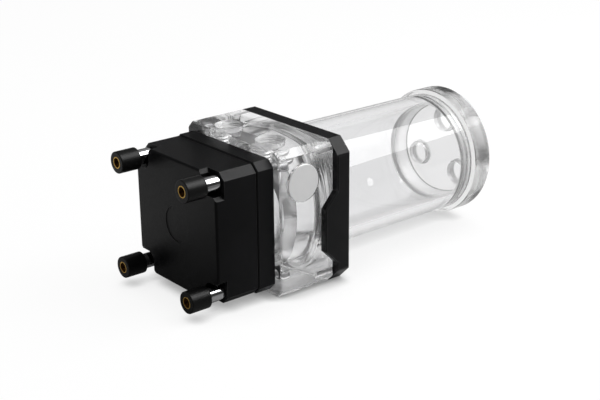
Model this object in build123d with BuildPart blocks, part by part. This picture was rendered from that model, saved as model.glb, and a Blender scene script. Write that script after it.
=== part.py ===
"""A liquid-cooling pump with its tube reservoir, lying on its side with the common axis along X.

The pump end points to -X and the screw cap to +X. The origin is the centre of the face that the
clear pump top rests on, so the axis of tube, rotor and cap runs at half the height of that block.
"""
import os
from math import cos, radians, sin

from build123d import *

os.makedirs("parts", exist_ok=True)

# Clear pump top, the block that joins pump and tube
BLOCK_WALL = 4.0
BLOCK_LENGTH = 30.0
BLOCK_CHAMFER = 3.2
BLOCK_BEVEL = 0.7
VOLUTE_DEPTH = 8.2
VOLUTE_GROWTH = 3.0
VOLUTE_GAP = 1.0
VOLUTE_SEAL_WALL = 2.9
VOLUTE_START_ANGLE = 130.0
VOLUTE_SWEEP = 345.0
VOLUTE_STEPS = 24
EYE_RADIUS = 6.5
CHAMBER_WALL = 5.1
SOCKET_DEPTH = 5.5
OUTLET_BORE_RADIUS = 3.4
OUTLET_BORE_WALL = 2.5
OUTLET_BORE_PLACE = 6.4
OUTLET_BORE_FLOOR = 2.0
RETURN_BORE_RADIUS = 3.7
RETURN_BORE_PLACE = 13.0
RETURN_BORE_FLOOR = 15.0

# Threaded ports for G1/4 fittings
PORT_RADIUS = 5.9
PORT_MOUTH = 0.9
TOP_PORT_DEPTH = 9.4
TOP_PORT_SPACING = 30.0
TOP_PORT_PLACE = 10.0
CAP_PORT_WALL = 1.6
CAP_PORT_COUNT = 3
CAP_PORT_ANGLE = -22.0

# Silver disc let into the side of the block
DISC_RADIUS = 8.5
DISC_THICKNESS = 2.2
DISC_PROUD = 0.2
DISC_PLACE = 13.1
DISC_RISE = 17.9
DISC_EDGE = 0.25

# Pump cover and the ring behind it
COVER_SIZE = 60.0
COVER_LENGTH = 21.8
COVER_CHAMFER = 3.4
COVER_EDGE_RADIUS = 1.0
COVER_FLOOR = 3.2
COVER_WALL = 2.7
POCKET_WIDTH = 10.0
POCKET_DEPTH = 4.7
POCKET_RADIUS = 4.0
POCKET_FACET = 1.6
ROUNDEL_RADIUS = 8.3
ROUNDEL_DEPTH = 0.3
RING_STEP = 0.5
RING_LENGTH = 9.4
RING_EDGE_RADIUS = 1.3
PARTING_BEVEL = 0.4

# Rubber dampers, their inserts and the standoffs that carry them
DAMPER_INSET = 5.0
DAMPER_RADIUS = 5.0
DAMPER_LENGTH = 10.0
DAMPER_EDGE = 0.5
INSERT_WALL = 0.7
INSERT_LENGTH = 5.0
STUD_RADIUS = 2.0
DAMPER_STUD_LENGTH = 4.5
DAMPER_SKIN = 1.4
DAMPER_STUD_HEAD = 1.6
STANDOFF_WALL = 1.5
STANDOFF_LENGTH = 8.0
STANDOFF_EDGE = 0.4
STUD_REACH = 8.0

# Motor inside cover and ring
MOTOR_WALL = 1.3
MOTOR_CLEARANCE = 0.5
MOTOR_SETBACK = 6.5
BOARD_THICKNESS = 1.6
BOARD_GAP = 0.5
CHIP_HEIGHT = 1.1
STATOR_LENGTH = 8.0
STATOR_YOKE = 3.0
STATOR_TOOTH = 5.0
STATOR_TIP = 1.6
STATOR_TIP_ANGLE = 42.0
STATOR_SETBACK = 5.6
TOOTH_COUNT = 6
COIL_BUILD = 2.0
COIL_END = 1.8
COIL_GAP = 0.7
CAN_WALL = 1.0
CAN_DEPTH = 15.0
CAN_FLANGE = 2.0
CAN_BOSS_RADIUS = 3.4
CAN_BOSS_LENGTH = 2.0
AIR_GAP = 0.4
RADIAL_LAYERS = 3

# Rotor on its fixed pin
PIN_RADIUS = 1.5
PIN_RUNNING_GAP = 0.03
PIN_REACH = 4.6
BUSH_WALL = 1.7
MAGNET_GAP = 0.8
MAGNET_LENGTH = 7.6
MAGNET_SETBACK = 5.4
IMPELLER_PLACE = 0.7
IMPELLER_DISC = 1.3
IMPELLER_FRONT_GAP = 1.2
VANE_THICKNESS = 1.2
VANE_COUNT = 6
VANE_LEAN = 50.0
IMPELLER_COVER = 1.0
ROTOR_END_GAP = 0.5

# Black plate at the tube end of the block
PLATE_OVERHANG = 3.5
PLATE_THICKNESS = 7.2
PLATE_CHAMFER = 6.6
PLATE_EDGE = 0.5
PLATE_TUBE_CLEARANCE = 0.3
TONGUE_REACH = 6.9
TONGUE_TOP = 11.0
TONGUE_HIGH = 3.4
TONGUE_LOW = -16.6
TONGUE_BOTTOM = -23.5
PLATE_SCREW_RADIUS = 1.5
PLATE_SCREW_HEAD_RADIUS = 2.8
PLATE_SCREW_HEAD = 1.4
PLATE_SCREW_LENGTH = 15.0
PLATE_SCREW_INSET = 5.0
HEX_SOCKET = 1.8
HEX_DEPTH = 1.2

# Tube and screw cap
TUBE_RADIUS = 30.0
TUBE_WALL = 5.0
TUBE_LENGTH = 101.0
TUBE_THREAD_STEP = 1.6
TUBE_THREAD_LENGTH = 8.0
TUBE_MOUTH_STEP = 0.9
TUBE_MOUTH_DEPTH = 2.1
CAP_LIP = 2.2
CAP_THICKNESS = 10.8
CAP_EDGE = 0.7
CAP_FLOOR = 6.0
PLUG_LENGTH = 6.0
PLUG_WALL = 3.0
PLUG_EDGE = 0.6
SEAL_RADIUS = 0.9
PUMP_SEAL_INSET = 2.5

# Fits
SEAT_GAP = 0.05
THREAD_GAP = 0.1
SLIP_GAP = 0.2

# Cable bush in the hidden side of the cover
BUSH_HOLE_RADIUS = 2.6
BUSH_BORE_RADIUS = 1.9
BUSH_LIP_RADIUS = 3.4
BUSH_LIP = 1.0

# Sizes that follow from the tube
block_size = 2 * (TUBE_RADIUS + BLOCK_WALL)
half_block = block_size / 2
tube_bore_radius = TUBE_RADIUS - TUBE_WALL
tube_thread_radius = tube_bore_radius + TUBE_THREAD_STEP
tube_mouth_radius = tube_thread_radius + TUBE_MOUTH_STEP
cap_radius = TUBE_RADIUS + CAP_LIP
plug_radius = tube_thread_radius - THREAD_GAP
plug_inner_radius = plug_radius - PLUG_WALL
cap_port_circle = plug_inner_radius - PORT_RADIUS - CAP_PORT_WALL
plate_width = block_size + 2 * PLATE_OVERHANG
plate_screw_spacing = block_size - 2 * PLATE_SCREW_INSET

# Sizes that follow from the pump cover
half_cover = COVER_SIZE / 2
pocket_wall = half_cover - POCKET_WIDTH
ring_size = COVER_SIZE + 2 * RING_STEP
damper_spacing = COVER_SIZE - 2 * DAMPER_INSET
motor_bore = half_cover - COVER_WALL
motor_radius = motor_bore - MOTOR_CLEARANCE
stator_radius = motor_radius - MOTOR_WALL - SEAT_GAP
yoke_bore = stator_radius - STATOR_YOKE
bush_radius = PIN_RADIUS + BUSH_WALL
radial_room = yoke_bore - bush_radius - MAGNET_GAP - CAN_WALL - AIR_GAP
radial_layer = radial_room / RADIAL_LAYERS
hub_radius = bush_radius + radial_layer
magnet_radius = hub_radius + radial_layer
can_bore = magnet_radius + MAGNET_GAP
can_radius = can_bore + CAN_WALL
stator_bore = can_radius + AIR_GAP
pump_seal_centre = motor_radius - PUMP_SEAL_INSET
volute_end_radius = pump_seal_centre - VOLUTE_SEAL_WALL
volute_start_radius = volute_end_radius - VOLUTE_GROWTH
impeller_radius = volute_start_radius - VOLUTE_GAP
vane_height = VOLUTE_DEPTH - IMPELLER_PLACE - IMPELLER_DISC - IMPELLER_COVER - IMPELLER_FRONT_GAP
outlet_bore_offset = volute_end_radius - OUTLET_BORE_RADIUS - OUTLET_BORE_WALL
insert_radius = STUD_RADIUS + INSERT_WALL
standoff_radius = STUD_RADIUS + STANDOFF_WALL
stud_head_radius = DAMPER_RADIUS - DAMPER_SKIN

# Places along the axis, from the pump end to the cap
axis_height = half_block
block_front = -BLOCK_LENGTH / 2
block_rear = block_front + BLOCK_LENGTH
ring_front = block_front - RING_LENGTH
cover_front = ring_front - COVER_LENGTH
pocket_floor = cover_front + POCKET_DEPTH
standoff_front = pocket_floor - STANDOFF_LENGTH
damper_front = standoff_front - DAMPER_LENGTH
motor_front = cover_front + COVER_FLOOR + MOTOR_SETBACK
can_face = block_front - SEAT_GAP
can_back = can_face - CAN_FLANGE
can_bottom = can_face - CAN_DEPTH
stator_rear = block_front - STATOR_SETBACK
stator_front = stator_rear - STATOR_LENGTH
board_front = motor_front + MOTOR_WALL + BOARD_GAP
chamber_front = block_front + VOLUTE_DEPTH + CHAMBER_WALL
socket_floor = block_rear - SOCKET_DEPTH
plate_rear = block_rear + PLATE_THICKNESS
tube_front = socket_floor + SEAT_GAP
tube_rear = tube_front + TUBE_LENGTH
flange_front = tube_rear + SEAT_GAP
cap_rear = flange_front + CAP_THICKNESS
plug_front = flange_front - PLUG_LENGTH
recess_floor = cap_rear - CAP_FLOOR
impeller_back = block_front + IMPELLER_PLACE
vane_back = impeller_back + IMPELLER_DISC
vane_front = vane_back + vane_height
magnet_rear = block_front - MAGNET_SETBACK
magnet_front = magnet_rear - MAGNET_LENGTH
boss_top = can_bottom + CAN_WALL + CAN_BOSS_LENGTH
rotor_bottom = boss_top + ROTOR_END_GAP
pin_front = can_bottom + CAN_WALL / 2
seal_centre = plug_radius - SEAL_RADIUS / 2
top_port_floor = block_size - TOP_PORT_DEPTH
axis_line = Axis((0, 0, axis_height), (1, 0, 0))


def across(x):
    """Plane square to the axis at x: its own x is Y, its own y is Z above the axis."""
    return Plane(origin=(x, 0, axis_height), x_dir=(0, 1, 0), z_dir=(1, 0, 0))


def level(z):
    """Plane facing up at height z."""
    return Plane(origin=(0, 0, z), x_dir=(1, 0, 0), z_dir=(0, 0, 1))


def beside(y):
    """Upright plane facing -Y: its own x is X, its own y is Z above the axis."""
    return Plane(origin=(0, y, axis_height), x_dir=(1, 0, 0), z_dir=(0, -1, 0))


def polar(radius, angle):
    """Point on a circle round the axis, as seen on an across plane."""
    return (radius * cos(radians(angle)), radius * sin(radians(angle)))


def scroll_radius(travel):
    """Radius of the pump's scroll after a share of its sweep."""
    return volute_start_radius + (volute_end_radius - volute_start_radius) * travel


def save(part, name):
    """Names a finished piece and writes its STEP file."""
    part.label = name
    export_step(part, f"parts/{name}.step")


section = beside(0)
corner_places = GridLocations(damper_spacing, damper_spacing, 2, 2)
corner_points = [(place.position.X, place.position.Y) for place in corner_places]

# Pump cover: a chamfered square cup with a pocket at each corner for the standoffs
with BuildPart() as pump_cover:
    with BuildSketch(across(cover_front)) as cover_outline:
        Rectangle(COVER_SIZE, COVER_SIZE)
        chamfer(cover_outline.vertices(), COVER_CHAMFER)
    extrude(amount=COVER_LENGTH - SEAT_GAP)
    fillet(pump_cover.faces().sort_by(Axis.X)[0].edges(), COVER_EDGE_RADIUS)
    chamfer(pump_cover.faces().sort_by(Axis.X)[-1].edges(), PARTING_BEVEL)
    with BuildSketch(across(cover_front)) as pocket_outline:
        with BuildLine():
            Polyline(
                (pocket_wall - POCKET_FACET, half_cover),
                (pocket_wall, half_cover - POCKET_FACET),
                (pocket_wall, pocket_wall),
                (half_cover - POCKET_FACET, pocket_wall),
                (half_cover, pocket_wall - POCKET_FACET),
                (COVER_SIZE, pocket_wall - POCKET_FACET),
                (COVER_SIZE, COVER_SIZE),
                (pocket_wall - POCKET_FACET, COVER_SIZE),
                close=True,
            )
        make_face()
        fillet(pocket_outline.vertices().sort_by_distance((0, 0, 0))[0], POCKET_RADIUS)
        mirror(about=Plane.XZ)
        mirror(about=Plane.YZ)
    extrude(amount=POCKET_DEPTH, mode=Mode.SUBTRACT)
    with BuildSketch(across(cover_front + COVER_FLOOR)):
        Circle(motor_bore)
    extrude(amount=COVER_LENGTH, mode=Mode.SUBTRACT)
    with BuildSketch(across(cover_front)):
        with Locations(*corner_points):
            Circle(STUD_RADIUS + SLIP_GAP)
    extrude(amount=COVER_LENGTH, mode=Mode.SUBTRACT)
    with BuildSketch(across(cover_front)):
        Circle(ROUNDEL_RADIUS)
    extrude(amount=ROUNDEL_DEPTH, mode=Mode.SUBTRACT)
    cable_place = cover_front + COVER_FLOOR + BUSH_LIP_RADIUS
    with BuildSketch(beside(half_cover)):
        with Locations((cable_place, 0)):
            Circle(BUSH_HOLE_RADIUS)
    extrude(amount=half_cover, mode=Mode.SUBTRACT)
save(pump_cover.part, "pump_cover")

# Cable bush: the rubber lip round the hole where the pump's lead would leave
with BuildPart() as cable_bush:
    with BuildSketch(beside(half_cover)):
        with Locations((cable_place, 0)):
            Circle(BUSH_HOLE_RADIUS - SEAT_GAP)
    extrude(amount=COVER_WALL)
    with BuildSketch(beside(half_cover + BUSH_LIP)):
        with Locations((cable_place, 0)):
            Circle(BUSH_LIP_RADIUS)
    extrude(amount=BUSH_LIP)
    fillet(cable_bush.faces().sort_by(Axis.Y)[-1].edges(), BUSH_LIP / 2)
    with BuildSketch(beside(half_cover + BUSH_LIP)):
        with Locations((cable_place, 0)):
            Circle(BUSH_BORE_RADIUS)
    extrude(amount=half_cover, mode=Mode.SUBTRACT)
save(cable_bush.part, "cable_bush")

# Mounting ring between the cover and the clear block
with BuildPart() as mounting_ring:
    with BuildSketch(across(ring_front)) as ring_outline:
        Rectangle(ring_size, ring_size)
        chamfer(ring_outline.vertices(), COVER_CHAMFER)
    extrude(amount=RING_LENGTH - SEAT_GAP)
    chamfer(mounting_ring.faces().sort_by(Axis.X)[0].edges(), PARTING_BEVEL)
    fillet(mounting_ring.faces().sort_by(Axis.X)[-1].edges(), RING_EDGE_RADIUS)
    with BuildSketch(across(ring_front)):
        Circle(motor_bore)
        with Locations(*corner_points):
            Circle(STUD_RADIUS + SLIP_GAP)
    extrude(amount=RING_LENGTH, mode=Mode.SUBTRACT)
save(mounting_ring.part, "mounting_ring")

# Standoffs: round nickelled posts whose studs clamp cover and ring to the block
with BuildPart() as standoffs:
    with BuildSketch(across(standoff_front)):
        with Locations(*corner_points):
            Circle(standoff_radius)
    extrude(amount=STANDOFF_LENGTH - SEAT_GAP)
    chamfer(standoffs.edges().filter_by(GeomType.CIRCLE), STANDOFF_EDGE)
    with BuildSketch(across(pocket_floor - SEAT_GAP)):
        with Locations(*corner_points):
            Circle(STUD_RADIUS)
    extrude(amount=block_front - pocket_floor + STUD_REACH)
    with BuildSketch(across(standoff_front)):
        with Locations(*corner_points):
            Circle(STUD_RADIUS + SEAT_GAP)
    extrude(amount=DAMPER_STUD_LENGTH + SLIP_GAP, mode=Mode.SUBTRACT)
save(standoffs.part, "standoffs")

# Studs bonded into the back of the dampers
with BuildPart() as damper_studs:
    with BuildSketch(across(standoff_front - DAMPER_STUD_HEAD - SEAT_GAP)):
        with Locations(*corner_points):
            Circle(stud_head_radius)
    extrude(amount=DAMPER_STUD_HEAD)
    with BuildSketch(across(standoff_front - SEAT_GAP)):
        with Locations(*corner_points):
            Circle(STUD_RADIUS)
    extrude(amount=DAMPER_STUD_LENGTH)
save(damper_studs.part, "damper_studs")

# Rubber dampers
with BuildPart() as rubber_dampers:
    with BuildSketch(across(damper_front)):
        with Locations(*corner_points):
            Circle(DAMPER_RADIUS)
    extrude(amount=DAMPER_LENGTH - SEAT_GAP)
    fillet(rubber_dampers.edges().filter_by(GeomType.CIRCLE), DAMPER_EDGE)
    with BuildSketch(across(damper_front)):
        with Locations(*corner_points):
            Circle(insert_radius + SEAT_GAP)
    extrude(amount=INSERT_LENGTH, mode=Mode.SUBTRACT)
    with BuildSketch(across(standoff_front - DAMPER_STUD_HEAD - SEAT_GAP)):
        with Locations(*corner_points):
            Circle(stud_head_radius + SEAT_GAP)
    extrude(amount=DAMPER_STUD_HEAD, mode=Mode.SUBTRACT)
save(rubber_dampers.part, "rubber_dampers")

# Brass inserts in the front of the dampers
with BuildPart() as damper_inserts:
    with BuildSketch(across(damper_front)):
        with Locations(*corner_points):
            Circle(insert_radius)
            Circle(STUD_RADIUS, mode=Mode.SUBTRACT)
    extrude(amount=INSERT_LENGTH)
save(damper_inserts.part, "damper_inserts")

# Motor shell: the dry cup that holds board and stator
with BuildPart() as motor_shell:
    with BuildSketch(across(motor_front)):
        Circle(motor_radius)
    extrude(amount=can_back - SEAT_GAP - motor_front)
    fillet(motor_shell.faces().sort_by(Axis.X)[0].edges(), MOTOR_WALL / 2)
    with BuildSketch(across(motor_front + MOTOR_WALL)):
        Circle(motor_radius - MOTOR_WALL)
    extrude(amount=can_back - motor_front, mode=Mode.SUBTRACT)
save(motor_shell.part, "motor_shell")

# Circuit board with its power stage
board_radius = motor_radius - MOTOR_WALL - SLIP_GAP
with BuildPart() as circuit_board:
    with BuildSketch(across(board_front)):
        Circle(board_radius)
        with Locations((0, board_radius)):
            Rectangle(board_radius / 2, board_radius / 4, mode=Mode.SUBTRACT)
    extrude(amount=BOARD_THICKNESS)
save(circuit_board.part, "circuit_board")

chip_circle = board_radius * 2 / 3
chip_size = board_radius / 5
with BuildPart() as drive_chips:
    with BuildSketch(across(board_front + BOARD_THICKNESS + SEAT_GAP)):
        with PolarLocations(chip_circle, TOOTH_COUNT):
            Rectangle(chip_size, chip_size)
    extrude(amount=CHIP_HEIGHT)
save(drive_chips.part, "drive_chips")

# Stator: laminated ring with six teeth pointing in at the can
with BuildPart() as stator_core:
    with BuildSketch(across(stator_front)):
        Circle(stator_radius)
        Circle(yoke_bore, mode=Mode.SUBTRACT)
        with PolarLocations((yoke_bore + stator_bore) / 2 + STATOR_YOKE / 4, TOOTH_COUNT):
            Rectangle(yoke_bore - stator_bore, STATOR_TOOTH)
        for tooth in range(TOOTH_COUNT):
            middle = tooth * 360 / TOOTH_COUNT
            first = middle - STATOR_TIP_ANGLE / 2
            with BuildLine():
                inner = CenterArc((0, 0), stator_bore, first, STATOR_TIP_ANGLE)
                outer = CenterArc((0, 0), stator_bore + STATOR_TIP, first, STATOR_TIP_ANGLE)
                Line(inner @ 0, outer @ 0)
                Line(inner @ 1, outer @ 1)
            make_face()
    extrude(amount=STATOR_LENGTH)
save(stator_core.part, "stator_core")

# Coils: one copper winding round each tooth, between its tip and the yoke
coil_inner = stator_bore + STATOR_TIP + SLIP_GAP
coil_outer = yoke_bore - COIL_GAP
coil_width = STATOR_TOOTH + 2 * COIL_BUILD
coil_length = STATOR_LENGTH + 2 * COIL_END
tooth_hole = STATOR_TOOTH + 2 * SEAT_GAP
core_hole = STATOR_LENGTH + 2 * SEAT_GAP
stator_middle = stator_front + STATOR_LENGTH / 2
coil_plane = Plane(
    origin=(stator_middle, coil_inner, axis_height), x_dir=(1, 0, 0), z_dir=(0, 1, 0)
)
with BuildPart() as stator_coils:
    with BuildSketch(coil_plane):
        RectangleRounded(coil_length, coil_width, COIL_END * 2 / 3)
        Rectangle(core_hole, tooth_hole, mode=Mode.SUBTRACT)
    winding = extrude(amount=coil_outer - coil_inner)
    for tooth in range(1, TOOTH_COUNT):
        add(winding.rotate(axis_line, tooth * 360 / TOOTH_COUNT))
save(stator_coils.part, "stator_coils")

# Can: the plastic wall between the wet rotor and the dry stator, with a boss for the pin
with BuildPart() as separator_can:
    with BuildSketch(section):
        with BuildLine():
            Polyline(
                (can_bottom, 0),
                (can_bottom, can_radius),
                (can_back, can_radius),
                (can_back, motor_radius),
                (can_face, motor_radius),
                (can_face, can_bore),
                (can_bottom + CAN_WALL, can_bore),
                (can_bottom + CAN_WALL, CAN_BOSS_RADIUS),
                (boss_top, CAN_BOSS_RADIUS),
                (boss_top, 0),
                close=True,
            )
        make_face()
    revolve(axis=axis_line)
    with BuildSketch(across(pin_front)):
        Circle(PIN_RADIUS + SEAT_GAP)
    extrude(amount=CAN_DEPTH, mode=Mode.SUBTRACT)
save(separator_can.part, "separator_can")

# Ceramic pin that the rotor turns on
pin_rear = block_front + PIN_REACH
with BuildPart() as pivot_pin:
    with BuildSketch(across(pin_front)):
        Circle(PIN_RADIUS)
    extrude(amount=pin_rear - pin_front)
    chamfer(pivot_pin.faces().sort_by(Axis.X)[-1].edges(), PIN_RADIUS / 5)
save(pivot_pin.part, "pivot_pin")

# Bearing bush in the rotor's hub
bush_rear = vane_back
with BuildPart() as bearing_bush:
    with BuildSketch(across(rotor_bottom)):
        Circle(bush_radius)
        Circle(PIN_RADIUS + PIN_RUNNING_GAP, mode=Mode.SUBTRACT)
    extrude(amount=bush_rear - rotor_bottom)
save(bearing_bush.part, "bearing_bush")

# Magnet ring on the hub
with BuildPart() as rotor_magnet:
    with BuildSketch(across(magnet_front)):
        Circle(magnet_radius)
        Circle(hub_radius + SEAT_GAP, mode=Mode.SUBTRACT)
    extrude(amount=MAGNET_LENGTH)
    chamfer(rotor_magnet.edges().filter_by(GeomType.CIRCLE).group_by(SortBy.RADIUS)[-1], SLIP_GAP)
save(rotor_magnet.part, "rotor_magnet")

# Impeller: hub, disc and vanes that lean back from the turning direction
with BuildPart() as impeller:
    with BuildSketch(across(rotor_bottom)):
        Circle(hub_radius)
    extrude(amount=impeller_back - rotor_bottom)
    with BuildSketch(across(impeller_back)):
        Circle(impeller_radius)
    extrude(amount=IMPELLER_DISC)
    with BuildSketch(across(vane_back)):
        for vane in range(VANE_COUNT):
            root = vane * 360 / VANE_COUNT
            with BuildLine():
                spine = ThreePointArc(
                    polar(EYE_RADIUS, root),
                    polar((EYE_RADIUS + impeller_radius) / 2, root + VANE_LEAN / 3),
                    polar(impeller_radius - VANE_THICKNESS, root + VANE_LEAN),
                )
                offset(spine, amount=VANE_THICKNESS / 2)
            make_face()
    extrude(amount=vane_height)
    with BuildSketch(across(rotor_bottom)):
        Circle(bush_radius + SEAT_GAP)
    extrude(amount=vane_front - rotor_bottom, mode=Mode.SUBTRACT)
save(impeller.part, "impeller")

# Impeller cover with its eye
with BuildPart() as impeller_cover:
    with BuildSketch(across(vane_front)):
        Circle(impeller_radius)
        Circle(EYE_RADIUS, mode=Mode.SUBTRACT)
    extrude(amount=IMPELLER_COVER)
save(impeller_cover.part, "impeller_cover")

# Clear pump top: scroll, eye, chamber, tube socket, ports and drilled passages
port_x = block_front + TOP_PORT_PLACE
half_spacing = TOP_PORT_SPACING / 2
pump_groove_inner = pump_seal_centre - SEAL_RADIUS - SEAT_GAP
pump_groove_outer = pump_seal_centre + SEAL_RADIUS + SEAT_GAP
base_seal_centre = (tube_bore_radius + TUBE_RADIUS) / 2
seal_depth = 2 * SEAL_RADIUS
port_rise = top_port_floor - axis_height + SLIP_GAP
with BuildPart() as pump_top:
    with BuildSketch(across(block_front)) as block_outline:
        Rectangle(block_size, block_size)
        chamfer(block_outline.vertices(), BLOCK_CHAMFER)
    extrude(amount=BLOCK_LENGTH)
    chamfer(pump_top.faces().sort_by(Axis.X)[0].edges(), BLOCK_BEVEL)
    with BuildSketch(across(block_front)):
        with BuildLine():
            scroll = Spline(
                [
                    polar(
                        scroll_radius(step / VOLUTE_STEPS),
                        VOLUTE_START_ANGLE - VOLUTE_SWEEP * step / VOLUTE_STEPS,
                    )
                    for step in range(VOLUTE_STEPS + 1)
                ]
            )
            Line(scroll @ 1, scroll @ 0)
        make_face()
    extrude(amount=VOLUTE_DEPTH, mode=Mode.SUBTRACT)
    with BuildSketch(across(block_front)):
        Circle(EYE_RADIUS)
    extrude(amount=BLOCK_LENGTH, mode=Mode.SUBTRACT)
    with BuildSketch(across(chamber_front)):
        Circle(tube_bore_radius)
    extrude(amount=BLOCK_LENGTH, mode=Mode.SUBTRACT)
    with BuildSketch(across(socket_floor)):
        Circle(TUBE_RADIUS + THREAD_GAP)
    extrude(amount=BLOCK_LENGTH, mode=Mode.SUBTRACT)
    with BuildSketch(across(socket_floor - seal_depth)):
        Circle(base_seal_centre + SEAL_RADIUS + SEAT_GAP)
        Circle(base_seal_centre - SEAL_RADIUS - SEAT_GAP, mode=Mode.SUBTRACT)
    extrude(amount=seal_depth, mode=Mode.SUBTRACT)
    with BuildSketch(across(block_front)):
        Circle(pump_groove_outer)
        Circle(pump_groove_inner, mode=Mode.SUBTRACT)
    extrude(amount=seal_depth, mode=Mode.SUBTRACT)
    with BuildSketch(across(block_front)):
        with Locations(*corner_points):
            Circle(STUD_RADIUS + SEAT_GAP)
    extrude(amount=STUD_REACH + SLIP_GAP, mode=Mode.SUBTRACT)
    with BuildSketch(level(top_port_floor)):
        with Locations((port_x, -half_spacing), (port_x, half_spacing)):
            Circle(PORT_RADIUS)
    extrude(amount=TOP_PORT_DEPTH, mode=Mode.SUBTRACT)
    for port_y in (-half_spacing, half_spacing):
        port_rims = pump_top.edges().filter_by(GeomType.CIRCLE)
        chamfer(port_rims.sort_by_distance((port_x, port_y, block_size))[0], PORT_MOUTH)
    with BuildSketch(level(axis_height + OUTLET_BORE_FLOOR)):
        with Locations((block_front + OUTLET_BORE_PLACE, -outlet_bore_offset)):
            Circle(OUTLET_BORE_RADIUS)
    extrude(amount=port_rise - OUTLET_BORE_FLOOR, mode=Mode.SUBTRACT)
    with BuildSketch(level(axis_height + RETURN_BORE_FLOOR)):
        with Locations((block_front + RETURN_BORE_PLACE, half_spacing)):
            Circle(RETURN_BORE_RADIUS)
    extrude(amount=port_rise - RETURN_BORE_FLOOR, mode=Mode.SUBTRACT)
    with BuildSketch(beside(-half_block)):
        with Locations((block_front + DISC_PLACE, DISC_RISE)):
            Circle(DISC_RADIUS + SEAT_GAP)
    extrude(amount=DISC_PROUD - DISC_THICKNESS, mode=Mode.SUBTRACT)
    with BuildSketch(across(plate_rear - PLATE_SCREW_LENGTH - SLIP_GAP)):
        with GridLocations(plate_screw_spacing, plate_screw_spacing, 2, 2):
            Circle(PLATE_SCREW_RADIUS + SEAT_GAP)
    extrude(amount=PLATE_SCREW_LENGTH, mode=Mode.SUBTRACT)
save(pump_top.part, "pump_top")

# Silver disc in its recess
with BuildPart() as side_disc:
    with BuildSketch(beside(-half_block - DISC_PROUD)):
        with Locations((block_front + DISC_PLACE, DISC_RISE)):
            Circle(DISC_RADIUS)
    extrude(amount=SEAT_GAP - DISC_THICKNESS)
    chamfer(side_disc.faces().sort_by(Axis.Y)[0].edges(), DISC_EDGE)
save(side_disc.part, "side_disc")

# Seal between the can and the block
with BuildPart() as pump_seal:
    with BuildSketch(section):
        with Locations((block_front + SEAL_RADIUS, pump_seal_centre)):
            Circle(SEAL_RADIUS)
    revolve(axis=axis_line)
save(pump_seal.part, "pump_seal")

# Seal at the bottom of the tube socket
with BuildPart() as base_seal:
    with BuildSketch(section):
        with Locations((socket_floor - SEAL_RADIUS, base_seal_centre)):
            Circle(SEAL_RADIUS)
    revolve(axis=axis_line)
save(base_seal.part, "base_seal")

# Black plate round the tube, with the tongue that laps over the side of the block
with BuildPart() as reservoir_plate:
    with BuildSketch(across(block_rear + SEAT_GAP)) as plate_outline:
        Rectangle(plate_width, block_size)
        chamfer(plate_outline.vertices(), PLATE_CHAMFER)
    extrude(amount=PLATE_THICKNESS - SEAT_GAP)
    with BuildSketch(beside(-half_block - SEAT_GAP)):
        with BuildLine():
            Polyline(
                (block_rear + PLATE_EDGE, TONGUE_TOP),
                (block_rear, TONGUE_TOP),
                (block_rear - TONGUE_REACH, TONGUE_HIGH),
                (block_rear - TONGUE_REACH, TONGUE_LOW),
                (block_rear, TONGUE_BOTTOM),
                (block_rear + PLATE_EDGE, TONGUE_BOTTOM),
                close=True,
            )
        make_face()
    extrude(amount=plate_width / 2 - half_block - SEAT_GAP)
    chamfer(reservoir_plate.faces().sort_by(Axis.Y)[0].edges(), PLATE_EDGE)
    with BuildSketch(across(block_rear)):
        Circle(TUBE_RADIUS + PLATE_TUBE_CLEARANCE)
    extrude(amount=PLATE_THICKNESS, mode=Mode.SUBTRACT)
    with BuildSketch(across(block_rear)):
        with GridLocations(plate_screw_spacing, plate_screw_spacing, 2, 2):
            Circle(PLATE_SCREW_RADIUS + SLIP_GAP)
    extrude(amount=PLATE_THICKNESS, mode=Mode.SUBTRACT)
    with BuildSketch(across(plate_rear)):
        with GridLocations(plate_screw_spacing, plate_screw_spacing, 2, 2):
            Circle(PLATE_SCREW_HEAD_RADIUS + SLIP_GAP)
    extrude(amount=-PLATE_SCREW_HEAD - SLIP_GAP, taper=45, mode=Mode.SUBTRACT)
save(reservoir_plate.part, "reservoir_plate")

# Countersunk screws that hold the plate to the block
with BuildPart() as plate_screws:
    with BuildSketch(across(plate_rear - PLATE_SCREW_LENGTH)):
        with GridLocations(plate_screw_spacing, plate_screw_spacing, 2, 2):
            Circle(PLATE_SCREW_RADIUS)
    extrude(amount=PLATE_SCREW_LENGTH - SEAT_GAP)
    with BuildSketch(across(plate_rear - SEAT_GAP)):
        with GridLocations(plate_screw_spacing, plate_screw_spacing, 2, 2):
            Circle(PLATE_SCREW_HEAD_RADIUS)
    extrude(amount=PLATE_SCREW_RADIUS - PLATE_SCREW_HEAD_RADIUS, taper=45)
    with BuildSketch(across(plate_rear)):
        with GridLocations(plate_screw_spacing, plate_screw_spacing, 2, 2):
            RegularPolygon(HEX_SOCKET / 2, 6, major_radius=False)
    extrude(amount=-HEX_DEPTH, mode=Mode.SUBTRACT)
save(plate_screws.part, "plate_screws")

# Clear tube
with BuildPart() as reservoir_tube:
    with BuildSketch(across(tube_front)):
        Circle(TUBE_RADIUS)
        Circle(tube_bore_radius, mode=Mode.SUBTRACT)
    extrude(amount=TUBE_LENGTH)
    with BuildSketch(across(tube_rear - TUBE_THREAD_LENGTH)):
        Circle(tube_thread_radius)
    extrude(amount=TUBE_THREAD_LENGTH, mode=Mode.SUBTRACT)
    with BuildSketch(across(tube_rear - TUBE_MOUTH_DEPTH)):
        Circle(tube_mouth_radius)
    extrude(amount=TUBE_MOUTH_DEPTH, mode=Mode.SUBTRACT)
save(reservoir_tube.part, "reservoir_tube")

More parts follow.
